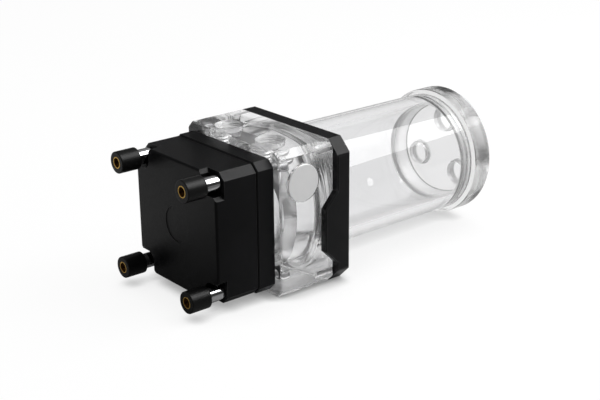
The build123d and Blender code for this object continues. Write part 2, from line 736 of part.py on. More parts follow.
# Screw cap: flange, threaded plug and three ports
neck_radius = seal_centre - SEAL_RADIUS - SEAT_GAP
neck_front = flange_front - 2 * SEAL_RADIUS - 2 * SEAT_GAP
with BuildPart() as end_cap:
    with BuildSketch(section):
        with BuildLine():
            Polyline(
                (recess_floor, 0),
                (recess_floor, plug_inner_radius),
                (plug_front, plug_inner_radius),
                (plug_front, plug_radius - PLUG_EDGE),
                (plug_front + PLUG_EDGE, plug_radius),
                (neck_front, plug_radius),
                (neck_front, neck_radius),
                (flange_front, neck_radius),
                (flange_front, cap_radius - CAP_EDGE),
                (flange_front + CAP_EDGE, cap_radius),
                (cap_rear - CAP_EDGE, cap_radius),
                (cap_rear, cap_radius - CAP_EDGE),
                (cap_rear, 0),
                close=True,
            )
        make_face()
    revolve(axis=axis_line)
    with BuildSketch(across(recess_floor)):
        with PolarLocations(cap_port_circle, CAP_PORT_COUNT, start_angle=CAP_PORT_ANGLE):
            Circle(PORT_RADIUS)
    extrude(amount=CAP_FLOOR, mode=Mode.SUBTRACT)
    rear_rims = end_cap.faces().sort_by(Axis.X)[-1].inner_wires().edges()
    chamfer(rear_rims, PORT_MOUTH)
save(end_cap.part, "end_cap")

# Seal under the cap's flange
with BuildPart() as cap_seal:
    with BuildSketch(section):
        with Locations((flange_front - SEAL_RADIUS - SEAT_GAP, seal_centre)):
            Circle(SEAL_RADIUS)
    revolve(axis=axis_line)
save(cap_seal.part, "cap_seal")
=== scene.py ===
"""Dresses the coolant pump reservoir on its CAD frame: studio, finishes and the finely made pieces."""
from math import cos, pi, radians, sin

import bmesh
import bpy
from mathutils import Matrix, Vector


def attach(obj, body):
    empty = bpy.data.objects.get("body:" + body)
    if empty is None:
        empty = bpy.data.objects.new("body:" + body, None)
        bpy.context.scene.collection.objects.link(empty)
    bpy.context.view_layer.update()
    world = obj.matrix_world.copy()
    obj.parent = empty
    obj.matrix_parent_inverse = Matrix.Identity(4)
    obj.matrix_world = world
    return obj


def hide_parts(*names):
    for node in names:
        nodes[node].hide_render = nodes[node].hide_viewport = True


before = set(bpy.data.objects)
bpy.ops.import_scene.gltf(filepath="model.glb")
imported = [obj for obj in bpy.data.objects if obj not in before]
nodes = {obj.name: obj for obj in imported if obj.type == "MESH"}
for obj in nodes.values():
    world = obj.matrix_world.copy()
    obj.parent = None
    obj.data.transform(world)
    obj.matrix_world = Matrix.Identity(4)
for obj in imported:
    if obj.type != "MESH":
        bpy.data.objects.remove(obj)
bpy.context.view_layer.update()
scene = bpy.context.scene
scene.view_settings.view_transform = "Standard"

MM = 0.001

# Main sizes in mm, as in the CAD model; x runs along the unit's axis, from the pump to the cap
BLOCK_HALF, BLOCK_CHAMFER, BLOCK_BEVEL = 34.0, 3.2, 0.7
BLOCK_FRONT, BLOCK_REAR = -15.0, 15.0
SCROLL_RADIUS, SCROLL_GROWTH, SCROLL_DEPTH = 18.4, 3.0, 8.2
SCROLL_START, SCROLL_SWEEP = 130.0, 345.0
EYE_RADIUS, OUTLET_BORE_RADIUS, RETURN_BORE_RADIUS = 6.5, 3.4, 3.7
CHAMBER_FRONT, SOCKET_FLOOR, SOCKET_RADIUS = -1.7, 9.5, 30.1
BASE_GROOVE, PUMP_GROOVE, GROOVE_DEPTH = (26.55, 28.45), (23.35, 25.25), 1.8
DISC_X, DISC_RISE, DISC_DEPTH = -1.9, 17.9, 2.0
TUBE_FRONT, TUBE_REAR, TUBE_RADIUS, TUBE_BORE = 9.55, 110.55, 30.0, 25.0
MOUTH_RADIUS, MOUTH_DEPTH, TUBE_THREAD_RADIUS = 27.5, 2.1, 26.6
FLANGE_FRONT, CAP_REAR = 110.6, 121.4
CAP_RADIUS, CAP_THICKNESS, CAP_FLOOR = 32.2, 10.8, 6.0
PLUG_RADIUS, PLUG_LENGTH, RECESS_RADIUS = 26.5, 6.0, 23.5
CAP_PORT_RING, CAP_PORT_ANGLES = 16.0, (-22.0, 98.0, 218.0)
PORT_RADIUS, PORT_MOUTH = 5.9, 0.9
TOP_PORT_X, TOP_PORT_Y, TOP_PORT_FLOOR, TOP_PORT_DEPTH = -5.0, 15.0, 58.6, 9.4
DAMPER_FRONT, POST_FRONT, PLATE_REAR = -59.5, -49.5, 22.2
DAMPER_RADIUS, INSERT_RADIUS, INSERT_LENGTH = 5.0, 2.7, 5.0
STUD_RADIUS, STUD_HEAD_RADIUS, POST_RADIUS = 2.0, 3.6, 3.5
SCREW_RADIUS, SCREW_LENGTH = 1.5, 15.0
CORNER_SPACING, SCREW_SPACING = 50.0, 58.0

# Finer lengths in mm: threads, seats and rims, and how far a cutter runs over
PORT_CREST, PORT_PITCH, PORT_FLARE, CAP_PORT_PLAIN = 6.58, 1.337, 1.0, 2.4
STUD_PITCH, SCREW_PITCH, CAP_PITCH, TUBE_THREAD_END = 0.7, 0.5, 1.5, 4.6
DISC_SEAT_RADIUS, SCREW_HEAD_RADIUS = 8.75, 2.75
PLUG_FRONT, PLUG_EDGE = 2.0, 0.4
SEAL_SEAT_RADIUS, SEAL_SEAT_DEPTH = 25.1, 1.9
EDGE_ROUNDING, RIM_ROUNDING, POST_ROUNDING = 0.3, 0.35, 0.4
OVERCUT = 1.0

# How the turned pieces are divided: lengths in mm and counts of rows
LONG_STEP, SUPPORT_ROW, ON_AXIS = 0.6, 0.1, 1e-6
ROUNDING_ROWS, PORT_ROWS_PER_MM = 4, 7
RUNOUT_SHARE = 6  # a thread fades in and out over one sixth of its length
SHARP_ANGLE = 28.0

# Places in metres
AXIS_HEIGHT = 0.034
CORNER_OFFSET = CORNER_SPACING / 2 * MM
LENGTHWAYS = Matrix(((0, 0, 1, 0), (1, 0, 0, 0), (0, 1, 0, 0), (0, 0, 0, 1)))
ALONG = Matrix.Translation((0, 0, AXIS_HEIGHT)) @ LENGTHWAYS

# The level direction in which the camera looks: what lies further along it is behind the object
BEHIND = (0.63, 0.77, 0.0)
WHITE = (1, 1, 1, 1)


def corner_places(spacing):
    """The (y, z) places, in mm from the axis, of the corners of a square round it."""
    half = spacing / 2
    return [(y, z) for y in (-half, half) for z in (-half, half)]


# Node helpers

def link(tree, source, target):
    tree.links.new(source, target)


def feed(tree, value, socket):
    """Links a socket to an output, or sets it where the value is a plain number or colour."""
    if isinstance(value, bpy.types.NodeSocket):
        link(tree, value, socket)
    else:
        socket.default_value = value


def shader_node(tree, kind, x, y, **settings):
    """Adds a node, sets its plain properties, and sets inputs given as in_Name=value."""
    node = tree.nodes.new(kind)
    node.location = (x, y)
    for name, value in settings.items():
        if name.startswith("in_"):
            node.inputs[name[3:].replace("_", " ")].default_value = value
        else:
            setattr(node, name, value)
    return node


def math_node(tree, operation, values, x, y, clamp=False):
    """The output of a Math node whose values are outputs or numbers."""
    node = shader_node(tree, "ShaderNodeMath", x, y, operation=operation, use_clamp=clamp)
    for socket, value in zip(node.inputs, values):
        feed(tree, value, socket)
    return node.outputs[0]


def map_range(tree, value, x, y, span=(0.0, 1.0), result=(0.0, 1.0)):
    """The output of a Map Range node that takes one span of values to another."""
    node = shader_node(tree, "ShaderNodeMapRange", x, y)
    feed(tree, value, node.inputs["Value"])
    for name, number in zip(("From Min", "From Max", "To Min", "To Max"), (*span, *result)):
        node.inputs[name].default_value = number
    return node.outputs[0]


def mix_node(tree, factor, first, second, x, y, kind="FLOAT"):
    """The output of a Mix node between two values or colours."""
    node = shader_node(tree, "ShaderNodeMix", x, y, data_type=kind)
    for name, value in (("Factor", factor), ("A", first), ("B", second)):
        feed(tree, value, node.inputs[name])
    return node.outputs["Result"]


def mix_shader(tree, factor, first, second, x, y):
    """The output of a Mix Shader node."""
    node = shader_node(tree, "ShaderNodeMixShader", x, y)
    for socket, value in zip(node.inputs, (factor, first, second)):
        feed(tree, value, socket)
    return node.outputs[0]


def depth_behind(tree, place, x, y):
    """How far a place or a direction lies behind the object, as the camera sees it."""
    node = shader_node(tree, "ShaderNodeVectorMath", x, y, operation="DOT_PRODUCT")
    link(tree, place, node.inputs[0])
    node.inputs[1].default_value = BEHIND
    return node.outputs["Value"]


def start_tree(name, kind, inputs, outputs):
    """A node tree with its input and output nodes; each socket comes with its type or its default number."""
    tree = bpy.data.node_groups.new(name, kind)
    for direction, sockets in (("INPUT", inputs), ("OUTPUT", outputs)):
        for label, value in sockets.items():
            typed = isinstance(value, str)
            socket_type = "NodeSocket" + (value if typed else "Float")
            socket = tree.interface.new_socket(label, in_out=direction, socket_type=socket_type)
            if not typed:
                socket.default_value = value
    start = shader_node(tree, "NodeGroupInput", -1500, 0)
    return tree, start, shader_node(tree, "NodeGroupOutput", 1200, 0)


def split_place(tree, place, x, y):
    """The X, Y and Z of a place or a direction."""
    parts = shader_node(tree, "ShaderNodeSeparateXYZ", x, y)
    link(tree, place, parts.inputs[0])
    return parts.outputs["X"], parts.outputs["Y"], parts.outputs["Z"]


# Studio

def build_camera():
    """The camera that took the photograph, as its fit to the CAD edges gave it."""
    data = bpy.data.cameras.new("photo_camera")
    data.sensor_fit = "HORIZONTAL"
    data.sensor_width = 36.0
    data.lens = 73.02
    data.clip_start = 0.01
    data.clip_end = 20.0
    camera = bpy.data.objects.new("photo_camera", data)
    turn = (
        Matrix.Rotation(radians(-41.108), 4, "Z")
        @ Matrix.Rotation(radians(69.676), 4, "X")
        @ Matrix.Rotation(radians(1.312), 4, "Y")
    )
    camera.matrix_world = Matrix.Translation((-0.321421, -0.416211, 0.228511)) @ turn
    scene.collection.objects.link(camera)
    scene.camera = camera


def soft_box(name, place, aim, size, watts):
    """A rectangular lamp at a place, turned towards a point."""
    data = bpy.data.lights.new(name, "AREA")
    data.shape = "RECTANGLE"
    data.size, data.size_y = size
    data.energy = watts
    lamp = bpy.data.objects.new(name, data)
    direction = Vector(aim) - Vector(place)
    turn = direction.to_track_quat("-Z", "Y").to_matrix().to_4x4()
    lamp.matrix_world = Matrix.Translation(place) @ turn
    lamp.visible_transmission = False
    scene.collection.objects.link(lamp)


def build_world():
    """A studio room: dark near the camera and pale overhead and behind, with white where the camera looks."""
    world = bpy.data.worlds.new("studio")
    world.use_nodes = True
    scene.world = world
    tree = world.node_tree
    tree.nodes.clear()

    def background(strength, y):
        node = shader_node(tree, "ShaderNodeBackground", -300, y, in_Color=WHITE)
        feed(tree, strength, node.inputs["Strength"])
        return node.outputs[0]

    path = shader_node(tree, "ShaderNodeLightPath", -900, 300)
    where = shader_node(tree, "ShaderNodeTexCoord", -1300, -100)
    rise = split_place(tree, where.outputs["Generated"], -1100, -100)[2]
    behind = depth_behind(tree, where.outputs["Generated"], -1100, -350)

    # Direct reflections: pale overhead, and a low bright band behind
    overhead = map_range(tree, rise, -900, -100, (0.25, 1.0), (0.03, 0.34))
    low = map_range(tree, rise, -900, -600, (0.17, 0.05))
    rear = map_range(tree, behind, -900, -850, (0.1, 0.6), (0.0, 0.8))
    sweep = math_node(tree, "MULTIPLY", (low, rear), -650, -700)
    room = math_node(tree, "MAXIMUM", (sweep, overhead), -500, -500)

    # What shows through the clear pieces: grey in front and nearly white behind
    backdrop = map_range(tree, behind, -900, -350, (-0.4, 1.0), (0.25, 0.99))
    inside = math_node(tree, "GREATER_THAN", (path.outputs["Transmission Depth"], 0.5), -500, 300)

    soft = mix_shader(tree, path.outputs["Is Diffuse Ray"], background(room, -100), background(0.3, -250), 0, 0)
    clear = mix_shader(tree, inside, soft, background(backdrop, -400), 200, 0)
    last = mix_shader(tree, path.outputs["Is Camera Ray"], clear, background(1.0, -550), 400, 0)
    output = shader_node(tree, "ShaderNodeOutputWorld", 600, 0)
    link(tree, last, output.inputs["Surface"])


def build_floor():
    """A pale floor that the camera and clear pieces see as white, apart from the object's shadow."""
    mesh = bpy.data.meshes.new("floor")
    half = 4.0
    mesh.from_pydata([(-half, -half, 0), (half, -half, 0), (half, half, 0), (-half, half, 0)], [], [(0, 1, 2, 3)])
    floor = make_object("floor", mesh)
    floor.location.z = -0.00005
    material, tree, base = start_finish("floor_white", (0.82, 0.82, 0.82), 0.9, specular=0.0)
    path = shader_node(tree, "ShaderNodeLightPath", -900, 500)
    where = shader_node(tree, "ShaderNodeTexCoord", -1300, 200)
    lengthwise, aside, _ = split_place(tree, where.outputs["Object"], -1300, 0)
    behind = depth_behind(tree, where.outputs["Object"], -1100, 200)
    plate_to_tube = (0.022, 0.04)

    # The contact shadow reaches furthest under the block, which stands clear of the floor
    reach = map_range(tree, lengthwise, -1500, -300, (-0.02, -0.008), (0.007, 0.012))
    shorter = map_range(tree, lengthwise, -1500, -500, (0.01, 0.022), (1.0, 0.58))
    contact = shader_node(tree, "ShaderNodeAmbientOcclusion", -1100, -300, samples=12)
    link(tree, math_node(tree, "MULTIPLY", (reach, shorter), -1300, -400), contact.inputs["Distance"])
    open_share = map_range(tree, contact.outputs["AO"], -900, -300, (0.05, 0.85))

    # What the camera sees: white, darker in the contact shadow and a little darker in a wide one
    under_tube = map_range(tree, lengthwise, -1100, 0, plate_to_tube, (0.0, 0.5))
    lifted = mix_node(tree, under_tube, open_share, 1.0, -800, 0)
    camera_white = math_node(tree, "MULTIPLY_ADD", (lifted, 0.9, 0.16), -650, -300)
    wide = shader_node(tree, "ShaderNodeAmbientOcclusion", -900, -1300, samples=8, in_Distance=0.03)
    wide_share = map_range(tree, wide.outputs["AO"], -700, -1300, (0.2, 0.85), (0.86, 1.0))
    camera_soft = math_node(tree, "MULTIPLY", (camera_white, wide_share), -450, -1300)

    # What shows through the clear pieces: painted shade, darker towards the camera and beside the tube; a painted glow
    # brighter than white in the contact shadow under the block; and a deeper painted shadow under the tube
    deepest = map_range(tree, lengthwise, -1100, -550, plate_to_tube, (1.3, 0.36))
    clear_shade = mix_node(tree, open_share, deepest, 0.92, -800, -500)
    near_side = map_range(tree, aside, -1100, -800, (-0.075, -0.02))
    beside_tube = map_range(tree, lengthwise, -1100, -1050, (0.03, 0.06))
    gain = mix_node(tree, beside_tube, 1.0, near_side, -800, -800)
    side_shade = math_node(tree, "MULTIPLY", (clear_shade, gain), -600, -600)
    sweep = map_range(tree, behind, -900, 200, (-0.14, 0.02), (0.12, 1.0))
    clear_white = math_node(tree, "MULTIPLY", (side_shade, sweep), -450, -450)

    white = mix_node(tree, path.outputs["Is Transmission Ray"], camera_soft, clear_white, -250, -300)
    glow = shader_node(tree, "ShaderNodeEmission", 0, -300, in_Color=WHITE)
    link(tree, white, glow.inputs["Strength"])
    shown = mix_shader(tree, 0.12, glow.outputs[0], base.outputs[0], 200, -200)

    # What glossy faces reflect: a painted dark floor in front, standing in for shade, and pale behind
    lit_rear = map_range(tree, behind, -900, 350, (-0.085, 0.01))
    unlit = math_node(tree, "SUBTRACT", (1.0, lit_rear), -450, 300)
    front = math_node(tree, "MULTIPLY", (unlit, path.outputs["Is Glossy Ray"]), -250, 300)
    dark = shader_node(tree, "ShaderNodeBsdfDiffuse", 0, 300, in_Color=(0.14, 0.14, 0.14, 1))
    reflected = mix_shader(tree, front, base.outputs[0], dark.outputs[0], 200, 200)

    straight = (path.outputs["Is Camera Ray"], path.outputs["Is Transmission Ray"])
    surface = mix_shader(tree, math_node(tree, "MAXIMUM", straight, -100, 500), reflected, shown, 500, 0)
    link(tree, surface, tree.nodes["Material Output"].inputs["Surface"])
    mesh.materials.append(material)


# Shader groups that several finishes share

def build_grain_group():
    """Fine grain of a moulded or blasted skin: a height, and a slow cloudiness for tone."""
    group, start, end = start_tree(
        "fine_grain", "ShaderNodeTree", {"Grain Scale": 4000.0, "Cloud Scale": 60.0},
        {"Height": "Float", "Speckle": "Float", "Cloud": "Float"},
    )
    where = shader_node(group, "ShaderNodeTexCoord", -900, -200)
    grain = shader_node(group, "ShaderNodeTexNoise", -500, 200, in_Detail=3.0, in_Roughness=0.6)
    speckle = shader_node(group, "ShaderNodeTexVoronoi", -500, -50)
    cloud = shader_node(group, "ShaderNodeTexNoise", -500, -350, in_Detail=4.0, in_Roughness=0.55)
    for texture in (grain, speckle, cloud):
        link(group, where.outputs["Object"], texture.inputs["Vector"])
    link(group, start.outputs["Grain Scale"], grain.inputs["Scale"])
    link(group, start.outputs["Grain Scale"], speckle.inputs["Scale"])
    link(group, start.outputs["Cloud Scale"], cloud.inputs["Scale"])
    link(group, grain.outputs[0], end.inputs["Height"])
    link(group, speckle.outputs["Distance"], end.inputs["Speckle"])
    link(group, cloud.outputs[0], end.inputs["Cloud"])
    return group


def build_ring_group():
    """Turning lines round the unit's axis, or round the four corner axes that lie at the given offset."""
    group, start, end = start_tree(
        "turning_lines", "ShaderNodeTree", {"Line Pitch": 0.0002, "Corner Offset": 0.0}, {"Height": "Float"}
    )
    where = shader_node(group, "ShaderNodeTexCoord", -1300, -200)
    lengthwise, aside, height = split_place(group, where.outputs["Object"], -1100, -200)
    level = math_node(group, "SUBTRACT", (height, AXIS_HEIGHT), -950, -300)
    squares = []
    for distance, y in ((level, -300), (aside, -100)):
        size = math_node(group, "ABSOLUTE", (distance,), -800, y)
        offset = math_node(group, "SUBTRACT", (size, start.outputs["Corner Offset"]), -650, y)
        squares.append(math_node(group, "MULTIPLY", (offset, offset), -350, y))
    radius = math_node(group, "SQRT", (math_node(group, "ADD", squares, -200, -200),), -50, -200)
    travel = math_node(group, "ADD", (radius, lengthwise), 50, -100)
    turns = math_node(group, "DIVIDE", (travel, start.outputs["Line Pitch"]), 150, 0)
    wave = math_node(group, "SINE", (math_node(group, "MULTIPLY", (turns, 2 * pi), 250, 0),), 350, 0)
    link(group, wave, end.inputs["Height"])
    return group


def build_edge_group():
    """A mask that is one where the surface turns sharply, for painting highlights along sharp edges."""
    group, start, end = start_tree("painted_edge_highlight", "ShaderNodeTree", {"Width": 0.0004}, {"Edge": "Float"})
    bevel = shader_node(group, "ShaderNodeBevel", -700, 0, samples=4)
    link(group, start.outputs["Width"], bevel.inputs["Radius"])
    surface = shader_node(group, "ShaderNodeNewGeometry", -700, -200)
    facing = shader_node(group, "ShaderNodeVectorMath", -450, 0, operation="DOT_PRODUCT")
    link(group, bevel.outputs[0], facing.inputs[0])
    link(group, surface.outputs["Normal"], facing.inputs[1])
    link(group, map_range(group, facing.outputs["Value"], -200, 0, (0.995, 0.93)), end.inputs["Edge"])
    return group


def build_crevice_group():
    """Dust that gathers in seams and pockets: the roughness it gives them, and zero on open faces."""
    group, start, end = start_tree("crevice_dust", "ShaderNodeTree", {"Reach": 0.0009}, {"Dust": "Float"})
    shelter = shader_node(group, "ShaderNodeAmbientOcclusion", -700, 0, samples=8)
    link(group, start.outputs["Reach"], shelter.inputs["Distance"])
    link(group, map_range(group, shelter.outputs["AO"], -400, 0, (0.35, 0.8), (0.9, 0.0)), end.inputs["Dust"])
    return group


grain_group = build_grain_group()
ring_group = build_ring_group()
edge_group = build_edge_group()
crevice_group = build_crevice_group()


# Finishes

def start_finish(name, color, roughness, metallic=0.0, specular=0.5):
    """A material with its plain values set; returns it with its tree and its main shader."""
    material = bpy.data.materials.new(name)
    material.use_nodes = True
    tree = material.node_tree
    base = tree.nodes["Principled BSDF"]
    base.location = (300, 0)
    tree.nodes["Material Output"].location = (900, 0)
    base.inputs["Base Color"].default_value = (*color, 1)
    base.inputs["Roughness"].default_value = roughness
    base.inputs["Metallic"].default_value = metallic
    base.inputs["Specular IOR Level"].default_value = specular
    return material, tree, base


def add_bump(tree, base, height, strength, distance):
    """Shows a height in a shader's normal."""
    bump = shader_node(tree, "ShaderNodeBump", 0, -300, in_Strength=strength, in_Distance=distance)
    link(tree, height, bump.inputs["Height"])
    link(tree, bump.outputs[0], base.inputs["Normal"])


def add_skin(tree, grain, cloud):
    """Places the fine grain in a material, with the material's own scales."""
    return shader_node(
        tree, "ShaderNodeGroup", -700, 0, node_tree=grain_group, in_Grain_Scale=grain, in_Cloud_Scale=cloud
    )


def add_lines(tree, pitch, corners=0.0):
    """Places turning lines in a material, with the material's own pitch and corner offset."""
    return shader_node(
        tree, "ShaderNodeGroup", -500, -200, node_tree=ring_group, in_Line_Pitch=pitch, in_Corner_Offset=corners
    )


def grained(
    name, color, roughness, grain=4000.0, depth=0.00003, cloud=60.0, light=1.6, metallic=0.0, specular=0.5, edge=0.0
):
    """A finish with fine grain in its height, and speckle and cloudiness in its tone and gloss.

    An edge tone above zero paints thin highlights on sharp edges, and adds dust that dulls seams and pockets.
    """
    material, tree, base = start_finish(name, color, roughness, metallic, specular)
    skin = add_skin(tree, grain, cloud)
    add_bump(tree, base, skin.outputs["Height"], 0.6, depth)
    tone = map_range(tree, skin.outputs["Cloud"], -400, 200, (0.3, 0.7))
    lighter = [min(1.0, part * light) for part in color]
    shade = mix_node(tree, tone, (*color, 1), (*lighter, 1), -100, 200, "RGBA")
    spread = 1.5 if edge else 1.0
    span = (roughness - 0.05 * spread, roughness + 0.08 * spread)
    gloss = map_range(tree, skin.outputs["Speckle"], -400, -100, result=span)
    if edge:
        # Painted highlight: sharp edges get the lighter edge tone in their colour
        edge_highlight = shader_node(tree, "ShaderNodeGroup", -400, 500, node_tree=edge_group)
        shade = mix_node(tree, edge_highlight.outputs["Edge"], shade, (edge, edge, edge, 1), 100, 350, "RGBA")
        dusty = shader_node(tree, "ShaderNodeGroup", -400, -450, node_tree=crevice_group)
        gloss = math_node(tree, "MAXIMUM", (gloss, dusty.outputs["Dust"]), 100, -200)
    link(tree, shade, base.inputs["Base Color"])
    link(tree, gloss, base.inputs["Roughness"])
    return material


def turned_metal(name, color, roughness, pitch=0.00015, depth=0.000004, corners=0.0):
    """Lathe-cut metal with fine turning lines."""
    material, tree, base = start_finish(name, color, roughness, 1.0)
    add_bump(tree, base, add_lines(tree, pitch, corners).outputs["Height"], 0.4, depth)
    return material


def polished_metal(name, color, roughness):
    """Bright plated metal whose gloss varies a little with wiping."""
    material, tree, base = start_finish(name, color, roughness, 1.0)
    skin = add_skin(tree, 3000.0, 300.0)
    gloss = map_range(tree, skin.outputs["Cloud"], -200, 0, result=(roughness * 0.5, roughness * 1.6))
    link(tree, gloss, base.inputs["Roughness"])
    return material


def clear_acrylic(name, color, roughness, shade, frost=0.0, marks=0.0):
    """Clear acrylic that lets lamp light through, polished with faint wipe marks or cut to a satin with tool marks."""
    material, tree, base = start_finish(name, color, roughness)
    base.inputs["IOR"].default_value = 1.49
    base.inputs["Transmission Weight"].default_value = 1.0 - frost
    skin = add_skin(tree, 1500.0, 45.0)
    span = (roughness, roughness + 0.02 + frost * 0.2)
    link(tree, map_range(tree, skin.outputs["Cloud"], -400, 100, (0.35, 0.75), span), base.inputs["Roughness"])
    if marks:
        add_bump(tree, base, add_lines(tree, 0.0005).outputs["Height"], 0.5, marks)
    path = shader_node(tree, "ShaderNodeLightPath", 300, 400)
    through = shader_node(tree, "ShaderNodeBsdfTransparent", 300, -500, in_Color=(shade, shade, shade, 1))
    surface = mix_shader(tree, path.outputs["Is Shadow Ray"], base.outputs[0], through.outputs[0], 650, 0)
    link(tree, surface, tree.nodes["Material Output"].inputs["Surface"])
    return material


BLACK = (0.0035, 0.0035, 0.004)
# The edge tones of the cover and the plate paint thin highlights on their sharp edges
cover_black = grained("cover_black", BLACK, 0.34, grain=1900.0, depth=0.00012, specular=0.19, edge=0.03)
plate_black = grained("plate_black", BLACK, 0.32, grain=2400.0, depth=0.00007, specular=0.2, edge=0.06)
damper_rubber = grained("damper_rubber", (0.004, 0.004, 0.004), 0.36, grain=1800.0, depth=0.0001, specular=0.29)
insert_brass = turned_metal("insert_brass", (0.98, 0.62, 0.16), 0.35, corners=CORNER_OFFSET)
# The inserts' inner threads are brass painted nearly black: painted shade for the depth of the hole
insert_thread_shaded = turned_metal("insert_thread_shaded", (0.12, 0.05, 0.01), 0.3, corners=CORNER_OFFSET)
post_nickel = polished_metal("post_nickel", (0.86, 0.86, 0.87), 0.08)
stud_thread = turned_metal("stud_thread", (0.42, 0.42, 0.43), 0.25, corners=CORNER_OFFSET)
disc_silver = grained("disc_silver", (0.93, 0.93, 0.93), 0.4, grain=5000.0, depth=0.00001, light=1.05, metallic=0.25)
block_polished = clear_acrylic("block_polished", (0.985, 0.985, 0.99), 0.0, 0.96)
block_satin = clear_acrylic("block_satin", (0.93, 0.93, 0.935), 0.26, 0.96, 0.3, 0.000004)
block_end = clear_acrylic("block_end", (0.995, 0.995, 0.995), 0.05, 0.96, 0.0, 0.0000005)
block_cut = clear_acrylic("block_cut", (0.95, 0.95, 0.955), 0.16, 0.96, 0.14, 0.000002)
block_port = clear_acrylic("block_port", (0.97, 0.97, 0.975), 0.24, 0.96, 0.35, 0.000003)
tube_polished = clear_acrylic("tube_polished", (0.955, 0.955, 0.96), 0.0, 0.95)
tube_cut = clear_acrylic("tube_cut", (0.93, 0.93, 0.93), 0.25, 0.95, 0.2)
cap_polished = clear_acrylic("cap_polished", (0.99, 0.99, 0.99), 0.01, 0.94)
cap_cut = clear_acrylic("cap_cut", (0.93, 0.93, 0.93), 0.3, 0.94, 0.4, 0.000006)
# The port walls' darker acrylic is painted shade for the dark crescents round the cap's ports
cap_port = clear_acrylic("cap_port", (0.72, 0.72, 0.72), 0.28, 0.94, 0.3)
cap_rim = clear_acrylic("cap_rim", (0.95, 0.95, 0.95), 0.16, 0.94, 0.08)
# The corner relief's grey acrylic is a painted dark line of shade at the corner of the recess floor
cap_corner_shade = clear_acrylic("cap_corner_shade", (0.3, 0.3, 0.3), 0.3, 0.94, 0.4)
seal_silicone = grained("seal_silicone", (0.62, 0.62, 0.62), 0.4, grain=3000.0, light=1.1)
impeller_plastic = grained("impeller_plastic", (0.5, 0.5, 0.5), 0.45, grain=2500.0, light=1.15)
can_plastic = grained("can_plastic", (0.42, 0.42, 0.42), 0.5, grain=2500.0, light=1.15)
shell_plastic = grained("shell_plastic", (0.03, 0.03, 0.032), 0.5)
board_laminate = grained("board_laminate", (0.012, 0.07, 0.028), 0.35, cloud=300.0, light=1.5)
chip_plastic = grained("chip_plastic", (0.015, 0.015, 0.016), 0.5)
core_steel = grained("core_steel", (0.25, 0.25, 0.26), 0.4, metallic=1.0)
coil_copper = turned_metal("coil_copper", (0.72, 0.32, 0.12), 0.3, pitch=0.0006, depth=0.00008)
pin_ceramic = grained("pin_ceramic", (0.75, 0.75, 0.73), 0.25, light=1.05)
bush_carbon = grained("bush_carbon", (0.04, 0.04, 0.04), 0.45)
magnet_ferrite = grained("magnet_ferrite", (0.07, 0.07, 0.075), 0.5)
screw_oxide = turned_metal("screw_oxide", (0.16, 0.16, 0.16), 0.35)
screw_thread = turned_metal("screw_thread", (0.85, 0.85, 0.85), 0.4)
stud_steel = turned_metal("stud_steel", (0.55, 0.55, 0.55), 0.3)

node_finishes = {
    "pump_cover": cover_black, "mounting_ring": cover_black, "reservoir_plate": plate_black,
    "pump_top": block_polished, "reservoir_tube": tube_polished, "end_cap": cap_polished,
    "side_disc": disc_silver, "rubber_dampers": damper_rubber, "damper_inserts": insert_brass,
    "standoffs": post_nickel, "damper_studs": stud_steel, "cable_bush": damper_rubber,
    "motor_shell": shell_plastic, "circuit_board": board_laminate, "drive_chips": chip_plastic,
    "stator_core": core_steel, "stator_coils": coil_copper, "separator_can": can_plastic,
    "pivot_pin": pin_ceramic, "bearing_bush": bush_carbon, "rotor_magnet": magnet_ferrite,
    "impeller": impeller_plastic, "impeller_cover": impeller_plastic, "plate_screws": screw_oxide,
    "pump_seal": seal_silicone, "base_seal": seal_silicone, "cap_seal": seal_silicone,
}
for name, node in nodes.items():
    for slot in node.material_slots:
        slot.material = node_finishes[name]


# Turned pieces: a lathe outline, with a screw thread where its rows carry a depth

def paint_cut_faces(tree, geometry, main, cut, x):
    """Ends a geometry tree with real faces, the main finish on all of them and the cut finish on the cut ones."""
    real = shader_node(tree, "GeometryNodeRealizeInstances", x, 0)
    link(tree, geometry, real.inputs[0])
    painted = shader_node(tree, "GeometryNodeSetMaterial", x + 150, 0)
    link(tree, real.outputs[0], painted.inputs["Geometry"])
    link(tree, main, painted.inputs["Material"])
    cut_faces = shader_node(
        tree, "GeometryNodeInputNamedAttribute", x + 150, -250, data_type="BOOLEAN", in_Name="cut_face"
    )
    last = shader_node(tree, "GeometryNodeSetMaterial", x + 350, 0)
    link(tree, painted.outputs[0], last.inputs["Geometry"])
    link(tree, cut_faces.outputs["Attribute"], last.inputs["Selection"])
    link(tree, cut, last.inputs["Material"])
    return last.outputs[0]


